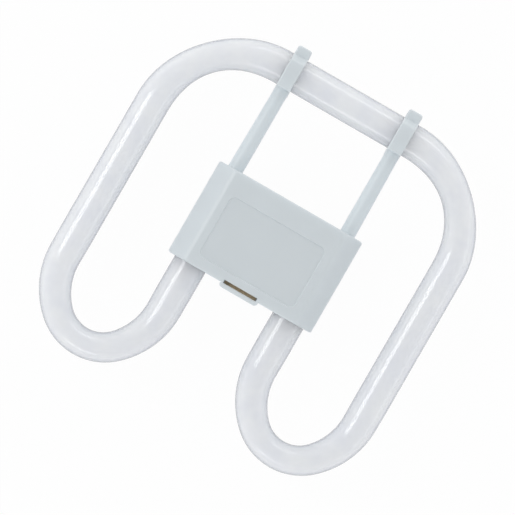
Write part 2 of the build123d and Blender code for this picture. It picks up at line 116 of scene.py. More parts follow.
class HousingSizes(bpy.types.PropertyGroup):
    width: size("Width", (shell_high.x - shell_low.x) / mm, "Width of the housing across the lamp")
    height: size("Height", (shell_high.y - shell_low.y) / mm, "Height of the housing along the lamp")
    front_z: size("Front", cover_high.z / mm, "Level of the front")
    back_z: size("Back", 9.5, "Level of the back, above the cap's boss")
    split_z: size("Split", tube_plane / mm, "Level where the two halves meet")
    wall: size("Wall", 1.6, "Wall thickness of both halves")
    front_slope: size("Front slope", 6.7, "Width of the slopes beside the front")
    back_slope: size("Back slope", 3.8, "Width of the slopes beside the back")
    front_turn_r: size("Front turn", 3.0, "Radius from the front to a slope")
    side_turn_r: size("Side turn", 2.5, "Radius from a slope to an upright side")
    edge_r: size("Edge", 0.8, "Rounding of the edges round the two ends")
    lip_t: size("Lip", 0.7, "Thickness of the locating lip")
    lip_h: size("Lip height", 1.2, "Height of the locating lip")
    lip_gap: size("Lip gap", 0.1, "Gap round the lip")
    tube_fit: size("Tube fit", 0.1, "Gap between the glass and the housing")
    label_w: size("Label width", 39.6, "Width of the label recess")
    label_h: size("Label height", 24.8, "Height of the label recess")
    label_y: size("Label place", -2.2, "Middle of the label recess along the lamp")
    label_r: size("Label corner", 2.4, "Corner radius of the label recess")
    label_depth: size("Label depth", 0.3, "Depth of the label recess")
    slot_w: size("Slot width", 13.7, "Width of the slot over the board")
    slot_h: size("Slot height", 1.4, "Height of the slot over the board")
    slot_inset: size("Slot inset", 1.35, "From the front's lower edge to the slot's far side")
    slot_wall: size("Slot wall", 1.1, "Wall of the bulge beside the slot")
    bulge_r: size("Bulge corner", 1.4, "Corner radius of the bulge round the slot")
    bulge_edge: size("Bulge edge", 0.4, "Rounding of the bulge's rim")
    saddle_y: size("Saddle place", -4.0, "Place of the ribs round the legs")
    saddle_t: size("Saddle thickness", 1.4, "Thickness of the ribs round the legs")
    saddle_reach: size("Saddle reach", 7.35, "From a leg's axis to the free end of its rib")


class ArmSizes(bpy.types.PropertyGroup):
    root_x: size("Root", 23.7, "Distance of an arm's root from the middle")
    end_x: size("End", 23.4, "Distance of an arm's end from the middle")
    rise: size("Rise", 3.0, "Height of an arm's axis above the tube's axis")
    root_d: size("Root diameter", 6.0, "Diameter where an arm leaves the housing")
    end_d: size("End diameter", 5.5, "Diameter where an arm meets its clip")
    clip_w: size("Clip width", 5.7, "Width of the clip along the cross run")
    front: size("Clip front", 8.3, "Front of the strap above the tube's axis")
    near: size("Clip step", 7.0, "Step from the arm up to the strap")
    heel: size("Clip heel", 9.0, "Back of the leg under the arm")
    turn: size("Clip turn", 4.2, "Where the strap turns down to the lip")
    lip_root: size("Lip root", 6.4, "Where the lip begins")
    lip_front: size("Lip front", 4.5, "Front of the lip above the tube's axis")
    tip: size("Tip", 10.1, "Reach of the lip past the tube's axis")
    far: size("Far leg", 8.3, "Outside of the far leg")
    lip_t: size("Lip thickness", 1.7, "Thickness of the lip")
    mouth: size("Mouth", 3.0, "Reach of both legs past the tube's axis")
    fit: size("Fit", 0.1, "Gap between the glass and its clip")
    strap_r: size("Strap rounding", 0.8, "Rounding of the strap's turns")
    side_r: size("Side rounding", 0.6, "Rounding along the strap's sides")
    tip_r: size("Tip corners", 1.1, "Rounding of the lip's two corners")


class CapSizes(bpy.types.PropertyGroup):
    width: size("Width", 32.0, "Width of the cap's boss")
    height: size("Height", 22.0, "Height of the cap's boss along the lamp")
    corner_r: size("Corner", 2.5, "Corner radius of the boss")
    wall: size("Shroud wall", 1.8, "Wall of the shroud round the pins")
    depth: size("Shroud depth", 8.0, "Depth of the shroud")
    inner_r: size("Shroud corner", 1.2, "Corner radius inside the shroud")
    rim_r: size("Rim", 0.35, "Rounding of the rim")
    catch_w: size("Catch width", 8.0, "Width of the catch grooves")
    catch_h: size("Catch height", 2.0, "Height of the catch grooves")
    catch_depth: size("Catch depth", 0.9, "Depth of the catch grooves")
    catch_z: size("Catch level", 4.2, "Level of the catch grooves above the rim")
    pitch: size("Pin pitch", 8.0, "Distance between the two pins")
    pin_d: size("Pin diameter", 2.35, "Diameter of a pin")
    pin_recess: size("Pin recess", 0.8, "How far inside the rim the pins stop")
    pin_tip: size("Pin tip", 0.6, "Height of the rounded tip of a pin")
    shank_d: size("Shank diameter", 2.9, "Thicker stretch, pressed into the shroud")
    pin_fit: size("Pin fit", 0.05, "Gap between a shank and its hole")
    flange_w: size("Flange width", 4.0, "Square flange on the shroud's floor")
    flange_t: size("Flange thickness", 0.8, "Thickness of the flange")
    cup_d: size("Cup diameter", 2.6, "Diameter of the solder cup")
    cup_l: size("Cup length", 2.4, "Length of the solder cup")
    bore_d: size("Bore diameter", 1.0, "Bore of the solder cup")
    bore_l: size("Bore depth", 2.0, "Depth of the solder cup's bore")


class Colours(bpy.types.PropertyGroup):
    phosphor: colour("Phosphor coat", "#EAEDF3", "White coat inside the glass")
    phosphor_cloud: colour("Phosphor cloud", "#E2E5EE", "Where the coat is thinner, a little lavender")
    # Painted shade: a dark rim mixed into the tube's colour along its outline, where it is seen edge on
    painted_rim_shade: colour("Painted rim shade", "#6F757D", "The glass wall where it is seen edge on")
    moulding: colour("Moulded housing", "#E1E9ED", "Pale grey moulded plastic")
    board: colour("Board", "#E0C8A2", "Brown board of pressed paper and resin")
    epoxy: colour("Epoxy dip", "#B5541F", "Dipped coat of the capacitor")
    sleeving: colour("Sleeving", "#E4DDC8", "Woven glass sleeve with its varnish")
    silicone: colour("Silicone", "#D9D9D4", "Soft beds under the glass")
    floor: colour("Floor", "#FFFFFF", "Plain pale floor")


# Modelling

def pick(piece):
    """Select one piece alone and make it active."""
    bpy.ops.object.select_all(action="DESELECT")
    piece.select_set(True)
    bpy.context.view_layer.objects.active = piece


def edit(piece):
    """Open a piece in edit mode with nothing else selected."""
    pick(piece)
    bpy.ops.object.mode_set(mode="EDIT")
    bpy.ops.mesh.select_mode(type="VERT")


def done():
    """Leave edit mode."""
    bpy.ops.object.mode_set(mode="OBJECT")


def pick_all():
    """In edit mode, select everything."""
    bpy.ops.mesh.select_all(action="SELECT")


def extrude(step):
    """In edit mode, draw what is picked out by a step."""
    bpy.ops.mesh.extrude_region_move(TRANSFORM_OT_translate={"value": step})


def pick_where(piece, mode, test):
    """In edit mode, select the edges or the faces that pass a test."""
    bpy.ops.mesh.select_all(action="DESELECT")
    bpy.ops.mesh.select_mode(type=mode)
    mesh = bmesh.from_edit_mesh(piece.data)
    for element in mesh.edges if mode == "EDGE" else mesh.faces:
        if test(element):
            element.select_set(True)
    bmesh.update_edit_mesh(piece.data)


def pick_edges(piece, test):
    """In edit mode, select the edges whose two ends pass the test."""
    pick_where(piece, "EDGE", lambda edge: test(edge.verts[0].co, edge.verts[1].co))


def pick_faces(piece, test):
    """In edit mode, select the faces whose middle and normal pass the test."""
    pick_where(piece, "FACE", lambda face: test(face.calc_center_median(), face.normal))


def bevel_picked(width, segments):
    """In edit mode, round the picked edges."""
    bpy.ops.mesh.bevel(offset_type="OFFSET", offset=width, segments=segments, affect="EDGES", profile=0.5)


def round_edges(piece, width, segments, test):
    """Bevel the edges of a piece whose two ends pass the test."""
    edit(piece)
    pick_edges(piece, test)
    bevel_picked(width, segments)
    done()


def both_at(axis, place):
    """A test for edges that lie at one place along an axis, on either side of the middle."""
    return lambda a, b: abs(a[axis] - b[axis]) < tiny and abs(abs(a[axis]) - place) < tiny


def level_with(z):
    """A test for edges that lie level at a height."""
    return lambda a, b: abs(a.z - z) < tiny and abs(b.z - z) < tiny


def upright(a, b):
    """Whether an edge runs along Z."""
    return abs(a.x - b.x) < tiny and abs(a.y - b.y) < tiny


def lengthwise(a, b):
    """Whether an edge runs along Y."""
    return abs(a.x - b.x) < tiny and abs(a.z - b.z) < tiny


def new_piece():
    """The piece that was just added, with its place, turn and scale applied."""
    bpy.ops.object.transform_apply()
    return bpy.context.object


def block(width, depth, height, x, y, low_z):
    """A block by its size, the middle of its base and its lowest level."""
    bpy.ops.mesh.primitive_cube_add(size=1, location=(x, y, low_z + height / 2))
    bpy.context.object.scale = (width, depth, height)
    return new_piece()


def rounded_block(width, depth, height, radius, x, y, low_z):
    """A block whose four upright edges are rounded."""
    piece = block(width, depth, height, x, y, low_z)
    round_edges(piece, radius, 8, upright)
    return piece


def round_bar(diameter, end_diameter, start, end, sides=bar_sides):
    """A round bar between two points, tapered when its two diameters differ."""
    start = Vector(start)
    along = Vector(end) - start
    bpy.ops.mesh.primitive_cone_add(
        vertices=sides,
        radius1=diameter / 2,
        radius2=end_diameter / 2,
        depth=along.length,
        location=start + along / 2,
        rotation=along.to_track_quat("Z", "Y").to_euler(),
    )
    return new_piece()


def combine(piece, tool, operation):
    """Join, cut or intersect a piece with a tool, which is used up."""
    pick(piece)
    modifier = piece.modifiers.new("solid", "BOOLEAN")
    modifier.operation = operation
    modifier.solver = "EXACT"
    modifier.object = tool
    bpy.ops.object.modifier_apply(modifier=modifier.name)
    bpy.data.objects.remove(tool)


def join_to(piece, tool):
    """Add a tool to a piece."""
    combine(piece, tool, "UNION")


def cut_from(piece, tool):
    """Cut a tool out of a piece."""
    combine(piece, tool, "DIFFERENCE")


def keep_side(piece, level, above):
    """Cut a piece level at a height, close it there and keep one side."""
    edit(piece)
    pick_all()
    bpy.ops.mesh.bisect(
        plane_co=(0, 0, level), plane_no=(0, 0, 1), use_fill=True, clear_inner=above, clear_outer=not above
    )
    done()


def mirrored(piece, merge):
    """Mirror a piece across the lamp's middle and apply it."""
    pick(piece)
    modifier = piece.modifiers.new("mirror", "MIRROR")
    modifier.use_axis = (True, False, False)
    modifier.use_mirror_merge = merge
    modifier.merge_threshold = tiny / 10
    bpy.ops.object.modifier_apply(modifier=modifier.name)
    return piece


def finish_piece(piece, name, angle):
    """Clean the mesh of a finished piece and smooth it up to an angle, with its flat faces kept flat."""
    piece.name = name
    piece.data.name = name
    edit(piece)
    pick_all()
    bpy.ops.mesh.remove_doubles(threshold=tiny / 20)
    bpy.ops.mesh.dissolve_degenerate(threshold=tiny / 20)
    bpy.ops.mesh.normals_make_consistent(inside=False)
    done()
    bpy.ops.object.shade_smooth_by_angle(angle=angle)
    modifier = piece.modifiers.new("flat faces", "WEIGHTED_NORMAL")
    modifier.keep_sharp = True
    bpy.ops.object.modifier_apply(modifier=modifier.name)
    return piece


# Glass tube

class DrawnGlass:
    """The open end of the glass in edit mode, drawn on from ring to ring along the tube's centreline."""

    def __init__(self, centre, heading, diameter):
        self.centre = Vector(centre)
        self.heading = Vector(heading)
        self.width = diameter
        self.height = diameter

    def draw(self, distance):
        """Draw one ring straight on."""
        step = self.heading * distance
        extrude(step)
        self.centre += step

    def swing(self, radius, angle):
        """Draw one ring round a bend to the right.

        With no window open, transform.rotate turns the other way, so its angle is positive here.
        """
        to_middle = Vector((self.heading.y, -self.heading.x, 0)) * radius
        middle = self.centre + to_middle
        extrude((0, 0, 0))
        bpy.ops.transform.rotate(value=angle, orient_axis="Z", orient_type="GLOBAL", center_override=middle)
        turn = Matrix.Rotation(-angle, 3, "Z")
        self.centre = middle - turn @ to_middle
        self.heading = turn @ self.heading

    def shape(self, width, height):
        """Give the ring a new width in the plane of the lamp and a new height across it."""
        across = width / self.width
        bpy.ops.transform.resize(
            value=(across, across, height / self.height), orient_type="GLOBAL", center_override=self.centre
        )
        self.width = width
        self.height = height


def draw_bend(glass, pieces, diameter, middle_w, middle_h, ring_step):
    """Draw a bend of runs and arcs, round at both ends and oval in the middle.

    A run is its length alone, an arc its radius and angle.
    """
    lengths = [piece[0] if len(piece) == 1 else piece[0] * piece[1] for piece in pieces]
    travelled = 0
    for piece, length in zip(pieces, lengths):
        rings = ceil(length / ring_step)
        for _ in range(rings):
            if len(piece) == 1:
                glass.draw(length / rings)
            else:
                glass.swing(piece[0], piece[1] / rings)
            travelled += length / rings
            oval = sin(pi * travelled / sum(lengths)) ** 2
            glass.shape(
                diameter + (middle_w - diameter) * oval, diameter + (middle_h - diameter) * oval
            )


def u_bend_pieces(sizes):
    """Run, flank arc, crown arc, flank arc and run of a U-bend."""
    half_span = (sizes.side_x - sizes.leg_x) / 2
    crown_drop = sizes.bend_drop - sizes.crown_r
    flank_r = (half_span**2 + crown_drop**2 - sizes.crown_r**2) / (2 * (half_span - sizes.crown_r))
    flank = atan2(crown_drop, flank_r - half_span)
    crown = pi - 2 * flank
    return [(sizes.run_in,), (flank_r, flank), (sizes.crown_r, crown), (flank_r, flank), (sizes.run_in,)]


def glass_tube(sizes):
    """The right half is drawn from the middle of the cross run to its pressed end, then mirrored."""
    ring_step = 1.4 * mm
    taper_rings = 8
    start = (0, sizes.cross_y, sizes.level)
    bpy.ops.mesh.primitive_circle_add(
        vertices=bar_sides, radius=sizes.diameter / 2, location=start, rotation=(0, pi / 2, 0)
    )
    tube = new_piece()
    edit(tube)
    pick_all()
    glass = DrawnGlass(start, (1, 0, 0), sizes.diameter)
    glass.draw(sizes.side_x - sizes.corner_r)
    corner = [(sizes.corner_r, pi / 2)]
    draw_bend(glass, corner, sizes.diameter, sizes.corner_w, sizes.bend_h, ring_step)
    glass.draw(glass.centre.y - sizes.bend_start_y - sizes.run_in)
    draw_bend(glass, u_bend_pieces(sizes), sizes.diameter, sizes.bend_w, sizes.bend_h, ring_step)
    glass.draw(sizes.end_y - glass.centre.y)
    for ring in range(taper_rings):
        share = (1 - cos(pi * (ring + 1) / taper_rings)) / 2
        glass.draw(sizes.taper / taper_rings)
        glass.shape(
            sizes.diameter + (sizes.press_w - sizes.diameter) * share,
            sizes.diameter + (sizes.press_t - sizes.diameter) * share,
        )
    glass.draw(sizes.press_l)
    glass.draw(0)
    glass.shape(sizes.tip_d, sizes.tip_d)
    glass.draw(sizes.tip_l)
    bpy.ops.mesh.edge_face_add()
    done()
    mirrored(tube, merge=True)
    return finish_piece(tube, "glass_tube", radians(50))


# Housing

def housing_block(sizes, inset):
    """The outside of the housing, or the sharp cavity that lies an inset further in.

    The slopes lean by 45 degrees, so they lose a fixed share of the inset.
    """
    half = sizes.width / 2 - inset
    front = sizes.front_z - inset
    back = sizes.back_z + inset
    end = sizes.height / 2 - inset
    slope_loss = inset * (2 - sqrt(2))
    front_slope = sizes.front_slope - slope_loss
    back_slope = sizes.back_slope - slope_loss
    offset_share = tan(radians(45) / 2)
    at_front = lambda a, b: lengthwise(a, b) and abs(a.z - front) < tiny
    at_back = lambda a, b: lengthwise(a, b) and abs(a.z - back) < tiny
    at_side = lambda a, b: lengthwise(a, b) and both_at(0, half)(a, b)
    body = block(2 * half, 2 * end, front - back, 0, 0, back)
    round_edges(body, front_slope, 1, at_front)
    round_edges(body, back_slope, 1, at_back)
    if inset:
        return body
    round_edges(body, sizes.front_turn_r * offset_share, 8, at_front)
    round_edges(body, sizes.side_turn_r * offset_share, 6, at_side)
    round_edges(body, sizes.edge_r / 2, 3, at_back)
    round_edges(body, sizes.edge_r, 5, both_at(1, end))
    return body


def lip_ring(sizes, thickness, height):
    """A ring on the split, from the cavity's side outwards into the wall."""
    inner_w = sizes.width - 2 * sizes.wall
    inner_h = sizes.height - 2 * sizes.wall
    ring = block(inner_w + 2 * thickness, inner_h + 2 * thickness, height, 0, 0, sizes.split_z)
    cut_from(ring, block(inner_w, inner_h, 3 * height, 0, 0, sizes.split_z - height))
    return ring


def saddle_ribs(sizes, glass):
    """One rib across each leg of the tube, up to the cavity's walls."""
    free_end = glass.leg_x - sizes.saddle_reach
    width = sizes.width / 2 - free_end
    rib = block(width, sizes.saddle_t, sizes.front_z, free_end + width / 2, sizes.saddle_y, 0)
    mirrored(rib, merge=False)
    combine(rib, housing_block(sizes, sizes.wall - tiny), "INTERSECT")
    return rib


def cut_leg_holes(piece, sizes, glass):
    """Cut room for both legs of the tube."""
    diameter = glass.diameter + 2 * sizes.tube_fit
    start = (glass.leg_x, -sizes.height, glass.level)
    bore = round_bar(diameter, diameter, start, (glass.leg_x, glass.end_y, glass.level), bore_sides)
    cut_from(piece, mirrored(bore, merge=False))


def housing_half(sizes, glass, above):
    """One moulded half: the hollow body cut at the split, with a fine seam round it and its ribs."""
    seam = 0.15 * mm
    half = housing_block(sizes, 0)
    keep_side(half, sizes.split_z, above)
    round_edges(half, seam, 1, level_with(sizes.split_z))
    cut_from(half, housing_block(sizes, sizes.wall))
    ribs = saddle_ribs(sizes, glass)
    keep_side(ribs, sizes.split_z, above)
    join_to(half, ribs)
    return half


def slot_bulge(sizes):
    """The lower wall steps out round the slot."""
    slot_bottom = -sizes.height / 2 + sizes.slot_inset - sizes.slot_h
    bottom = slot_bottom - sizes.wall
    depth = -sizes.height / 2 + sizes.wall - bottom
    width = sizes.slot_w + 2 * sizes.slot_wall
    height = sizes.front_z - sizes.split_z
    bulge = rounded_block(width, depth, height, sizes.bulge_r, 0, bottom + depth / 2, sizes.split_z)
    round_edges(bulge, sizes.bulge_edge, 4, level_with(sizes.front_z))
    return bulge


def cut_slot(cover, sizes):
    """Cut the slot in the front, and the room behind it that opens into the housing."""
    top = -sizes.height / 2 + sizes.slot_inset
    depth = sizes.front_z - sizes.split_z
    low = sizes.split_z - depth
    cut_from(cover, block(sizes.slot_w, sizes.slot_h, 3 * depth, 0, top - sizes.slot_h / 2, low))
    room_top = -sizes.height / 2 + 2 * sizes.wall
    room_h = room_top - (top - sizes.slot_h)
    room_z = sizes.front_z - sizes.wall
    cut_from(cover, block(sizes.slot_w, room_h, room_z - low, 0, room_top - room_h / 2, low))


def cut_label_recess(cover, sizes):
    """Press the bare label recess into the front, with slightly flared sides.

    The plate that cuts it stands twice as high as the recess is deep, so its top flares twice as far.
    """
    flare = 0.2 * mm
    low = sizes.front_z - sizes.label_depth
    plate = rounded_block(
        sizes.label_w, sizes.label_h, 2 * sizes.label_depth, sizes.label_r, 0, sizes.label_y, low
    )
    edit(plate)
    pick_faces(plate, lambda middle, normal: normal.z > square_on)
    growth = 2 * 2 * flare
    wider = 1 + growth / sizes.label_w
    higher = 1 + growth / sizes.label_h
    bpy.ops.transform.resize(value=(wider, higher, 1), center_override=(0, sizes.label_y, low))
    done()
    cut_from(cover, plate)


def board_edge(sizes):
    """Where the board's lower edge lies beside its tongue."""
    gap = 0.75 * mm
    return shell_low.y + sizes.wall + gap


def board_posts(cover, sizes):
    """Shouldered posts with square pins, which locate the board from behind the front."""
    board_low, board_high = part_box("starter_board")
    shoulder = 4.0 * mm
    pin = 2.0 * mm
    poke = 1.0 * mm
    inset_x = 3.5 * mm
    inset_top = 2.6 * mm
    inset_bottom = 4.2 * mm
    high = board_high.y - inset_top
    low = board_edge(sizes) + inset_bottom
    inner_z = sizes.front_z - sizes.wall + tiny
    pin_low = board_low.z - poke
    for x, y in ((board_low.x + inset_x, high), (board_high.x - inset_x, high), (0, low)):
        post = block(shoulder, shoulder, inner_z - board_high.z, x, y, board_high.z)
        join_to(post, block(pin, pin, board_high.z + tiny - pin_low, x, y, pin_low))
        join_to(cover, post)


def clip(arm, glass):
    """The clip over the cross run: two legs, a strap that steps up and turns down again, and a lip."""
    axis_y = glass.cross_y
    axis_z = glass.level
    step_y = axis_y - arm.near
    step_z = axis_z + arm.rise
    root_y = axis_y + arm.lip_root
    tip_y = axis_y + arm.tip
    lip_z = axis_z + arm.lip_front
    front_z = axis_z + arm.front
    half = arm.clip_w / 2
    across = lambda a, b: abs(abs(a.x - b.x) - arm.clip_w) < tiny
    at_side = lambda a, b: abs(a.x - b.x) < tiny and abs(abs(a.x - arm.end_x) - half) < tiny

    # The block over the cross run is stepped up to the strap, and the lip is drawn out of its far side
    length = arm.heel + arm.far
    height = arm.mouth + arm.rise
    middle_y = axis_y + (arm.far - arm.heel) / 2
    part = block(arm.clip_w, length, height, arm.end_x, middle_y, axis_z - arm.mouth)
    edit(part)
    pick_all()
    bpy.ops.mesh.bisect(plane_co=(0, step_y, 0), plane_no=(0, 1, 0))
    pick_faces(part, lambda middle, normal: normal.z > square_on and middle.y > step_y)
    extrude((0, 0, arm.lip_front - arm.rise))
    pick_faces(part, lambda middle, normal: normal.y > square_on and middle.z > step_z)
    extrude((0, arm.tip - arm.far, 0))
    far_y = axis_y + arm.far - tiny
    pick_edges(part, lambda a, b: min(a.y, b.y) > far_y and abs(a.z + b.z - 2 * step_z) < tiny)
    bpy.ops.transform.translate(value=(0, 0, arm.lip_front - arm.lip_t - arm.rise))

    # The strap rises from the lip's level and turns down to it on a slant
    pick_all()
    bpy.ops.mesh.bisect(plane_co=(0, root_y, 0), plane_no=(0, 1, 0))
    strap = lambda middle: abs(middle.z - lip_z) < tiny and middle.y < root_y
    pick_faces(part, lambda middle, normal: normal.z > square_on and strap(middle))
    extrude((0, 0, arm.front - arm.lip_front))
    pick_edges(part, lambda a, b: level_with(front_z)(a, b) and abs(a.y + b.y - 2 * root_y) < tiny)
    bpy.ops.transform.translate(value=(0, arm.turn - arm.lip_root, 0))

    # The strap's turns are rounded first, then the lip's corners, and last its rim and the sides
    pick_edges(part, lambda a, b: across(a, b) and abs(a.z - front_z) < tiny)
    bevel_picked(arm.strap_r, 6)
    pick_edges(part, lambda a, b: upright(a, b) and abs(a.y - tip_y) < tiny)
    bevel_picked(arm.tip_r, 5)
    corner_y = tip_y - arm.tip_r - tiny
    at_tip = lambda a, b: min(a.y, b.y) > corner_y and abs(a.z - b.z) < tiny
    pick_edges(part, lambda a, b: at_tip(a, b) or (at_side(a, b) and min(a.z, b.z) > axis_z))
    bevel_picked(arm.side_r, 4)
    done()
    bore_d = glass.diameter + 2 * arm.fit
    start = (arm.end_x - arm.clip_w, axis_y, axis_z)
    end = (arm.end_x + arm.clip_w, axis_y, axis_z)
    cut_from(part, round_bar(bore_d, bore_d, start, end, bore_sides))
    return part


def support_arms(arm, glass, sizes):
    """Both arms: a tapered round rod from the top wall to its clip."""
    sink = 0.3 * mm
    root = (arm.root_x, sizes.height / 2 - sizes.wall / 2, glass.level + arm.rise)
    end = (arm.end_x, glass.cross_y - arm.near + sink, glass.level + arm.rise)
    rod = round_bar(arm.root_d, arm.end_d, root, end)
    join_to(rod, clip(arm, glass))
    return mirrored(rod, merge=False)


def front_moulding(sizes, glass, arm):
    """The front half with its slot, label recess, board posts and both arms."""
    cover = housing_half(sizes, glass, above=True)
    join_to(cover, slot_bulge(sizes))
    cut_from(cover, lip_ring(sizes, sizes.lip_t + sizes.lip_gap, sizes.lip_h + sizes.lip_gap))
    cut_slot(cover, sizes)
    cut_leg_holes(cover, sizes, glass)
    cut_label_recess(cover, sizes)
    board_posts(cover, sizes)
    join_to(cover, support_arms(arm, glass, sizes))
    return finish_piece(cover, "front_moulding", radians(28))


def rear_moulding(sizes, glass, cap):
    """The rear half with its cap, pin holes and board columns."""
    shell = housing_half(sizes, glass, above=False)
    join_to(shell, lip_ring(sizes, sizes.lip_t, sizes.lip_h))
    cut_leg_holes(shell, sizes, glass)
    floor_z = sizes.back_z + sizes.wall
    boss = rounded_block(cap.width, cap.height, floor_z, cap.corner_r, 0, 0, 0)
    round_edges(boss, cap.rim_r, 3, level_with(0))
    join_to(shell, boss)
    room = rounded_block(
        cap.width - 2 * cap.wall, cap.height - 2 * cap.wall, 2 * cap.depth, cap.inner_r, 0, 0, -cap.depth
    )
    cut_from(shell, room)
    hole_d = cap.shank_d + 2 * cap.pin_fit
    for side in (-1, 1):
        catch_x = side * cap.width / 2
        cut_from(shell, block(2 * cap.catch_depth, cap.catch_w, cap.catch_h, catch_x, 0, cap.catch_z))
        pin_x = side * cap.pitch / 2
        cut_from(shell, round_bar(hole_d, hole_d, (pin_x, 0, 0), (pin_x, 0, 2 * sizes.back_z), pin_sides))
        join_to(shell, board_column(side, sizes))
    return finish_piece(shell, "rear_moulding", radians(28))


def board_column(side, sizes):
    """A column on the rear half's floor that backs one low corner of the board."""
    board_low, board_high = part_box("starter_board")
    width = 2.4 * mm
    inset_x = 1.4 * mm
    inset_y = 2.2 * mm
    gap = 0.1 * mm
    x = side * (board_high.x - inset_x)
    floor_z = sizes.back_z + sizes.wall / 2
    return block(width, width, board_low.z - gap - floor_z, x, board_edge(sizes) + inset_y, floor_z)


def contact_pin(side, sizes, cap):
    """A pin turned from bar, drawn by its profile: a rounded tip, the shank and the bored solder cup."""
    x = side * cap.pitch / 2
    radius = cap.pin_d / 2
    flange_z = sizes.back_z + sizes.wall
    cup_z = flange_z + cap.flange_t
    tip_rings = 6
    profile = []
    for ring in range(1, tip_rings + 1):
        turn = pi / 2 * ring / tip_rings
        tip_reach = radius - cap.pin_tip * (1 - sin(turn))
        profile.append((cap.pin_recess + cap.pin_tip * (1 - cos(turn)), tip_reach))
    profile += [
        (cap.depth, radius),
        (cap.depth, cap.shank_d / 2),
        (cup_z, cap.shank_d / 2),
        (cup_z, cap.cup_d / 2),
        (cup_z + cap.cup_l, cap.cup_d / 2),
        (cup_z + cap.cup_l, cap.bore_d / 2),
        (cup_z + cap.cup_l - cap.bore_l, cap.bore_d / 2),
    ]
    level = cap.pin_recess
    reach = radius - cap.pin_tip
    bpy.ops.mesh.primitive_circle_add(
        vertices=pin_sides, radius=reach, fill_type="NGON", location=(x, 0, level)
    )
    pin = new_piece()
    edit(pin)
    bpy.ops.mesh.select_mode(type="EDGE")
    pick_all()
    for step, (z, next_reach) in enumerate(profile):
        if step == 0:
            bpy.ops.mesh.extrude_edges_move(TRANSFORM_OT_translate={"value": (0, 0, z - level)})
        else:
            extrude((0, 0, z - level))
        share = next_reach / reach
        bpy.ops.transform.resize(value=(share, share, 1), center_override=(x, 0, z))
        level = z
        reach = next_reach
    bpy.ops.mesh.edge_face_add()
    pick_all()
    bpy.ops.mesh.normals_make_consistent(inside=False)
    done()
    join_to(pin, block(cap.flange_w, cap.flange_w, cap.flange_t, x, 0, flange_z))
    return finish_piece(pin, ("right" if side > 0 else "left") + "_contact_pin", radians(35))


# Materials

def add_node(tree, kind, links=(), **settings):
    """Add a node. Settings go to its properties or its inputs, and links join its inputs to outputs."""
    node = tree.nodes.new(kind)
    for name, value in settings.items():
        if hasattr(node, name):
            setattr(node, name, value)
        else:
            node.inputs[name.replace("_", " ")].default_value = value
    for name, source in dict(links).items():
        tree.links.new(source, node.inputs[name])
    return node


def new_material(name):
    """An empty material and its node tree."""
    material = bpy.data.materials.new(name)
    material.use_nodes = True
    material.node_tree.nodes.clear()
    return material, material.node_tree


def pattern(tree, kind, spacing, **settings):
    """A texture on Object coordinates whose features are a real distance apart."""
    place = add_node(tree, "ShaderNodeTexCoord").outputs["Object"]
    return add_node(tree, kind, {"Vector": place}, Scale=1 / spacing, **settings)


def noise(tree, spacing, **settings):
    """The level, from 0 to 1, of a soft random pattern."""
    return pattern(tree, "ShaderNodeTexNoise", spacing, **settings).outputs["Fac"]


def colour_band(tree, fac, low_place, low, high_place, high):
    """A soft change between two colours as a pattern goes from one level to another."""
    ramp = add_node(tree, "ShaderNodeValToRGB", {"Fac": fac})
    ramp.color_ramp.elements[0].position = low_place
    ramp.color_ramp.elements[0].color = low
    ramp.color_ramp.elements[1].position = high_place
    ramp.color_ramp.elements[1].color = high
    return ramp.outputs["Color"]


def mix_colours(tree, share, first, second):
    """Go from a linked colour to a fixed one as the share goes from 0 to 1.

    The node has sockets of the same names for numbers and vectors, so the colours go by their order.
    """
    mix = add_node(tree, "ShaderNodeMix", data_type="RGBA")
    colour_a, colour_b = mix.inputs[6], mix.inputs[7]
    tree.links.new(share, mix.inputs[0])
    tree.links.new(first, colour_a)
    colour_b.default_value = second
    return mix.outputs[2]


def level_band(tree, value, low, high):
    """Bring a pattern, from 0 to 1, to a range of values."""
    band = add_node(tree, "ShaderNodeMapRange", {"Value": value}, To_Min=low, To_Max=high)
    return band.outputs["Result"]


def bump(tree, height, depth):
    """Turn a pattern into relief of a real depth."""
    relief = add_node(tree, "ShaderNodeBump", {"Height": height}, Strength=1.0, Distance=depth)
    return relief.outputs["Normal"]


def mottled(tree, value, rgba, factor):
    """A colour that gets darker by a factor where a pattern is low."""
    return colour_band(tree, value, 0.3, shade(rgba, factor), 0.7, rgba[:])


def surface(tree, links, **settings):
    """A principled surface as the material's output."""
    shader = add_node(tree, "ShaderNodeBsdfPrincipled", links, **settings)
    add_node(tree, "ShaderNodeOutputMaterial", {"Surface": shader.outputs["BSDF"]})


def shade(rgba, factor):
    """The same colour, lighter or darker."""
    return tuple(min(1.0, channel * factor) for channel in rgba[:3]) + (1.0,)


def coated_glass(colours):
    """Drawn soda-lime glass with a powder coat inside.

    The powder was washed in wet and dried, so it is a matt white with soft clouds, and light spreads
    inside the tube. The glass over it gives sharp gloss with faint draw lines. The glass wall seen edge on
    darkens the coat only a little; the dark rim mixed into the colour along the outline is painted shade.
    """
    material, tree = new_material("phosphor_coated_glass")
    cloud = noise(tree, 9 * mm, Detail=2.0, Roughness=0.5)
    white = colour_band(tree, cloud, 0.35, colours.phosphor_cloud[:], 0.65, colours.phosphor[:])
    # Painted shade: the colour goes dark towards the outline, where the surface is seen edge on
    wall = add_node(tree, "ShaderNodeLayerWeight", Blend=0.5).outputs["Facing"]
    painted_rim_share = add_node(tree, "ShaderNodeMapRange", {"Value": wall}, From_Min=0.34, From_Max=0.95)
    painted_rim_share.interpolation_type = "SMOOTHSTEP"
    seen = mix_colours(tree, painted_rim_share.outputs["Result"], white, colours.painted_rim_shade[:])
    draw_lines = noise(tree, 14 * mm, Detail=1.0)
    surface(
        tree,
        {"Base Color": seen, "Coat Normal": bump(tree, draw_lines, 0.05 * mm)},
        Roughness=0.45,
        Specular_IOR_Level=0.3,
        Subsurface_Weight=1.0,
        Subsurface_Radius=(1.0, 1.0, 1.0),
        Subsurface_Scale=25 * mm,
        Coat_Weight=1.0,
        Coat_Roughness=0.1,
        Coat_IOR=1.55,
    )
    return material


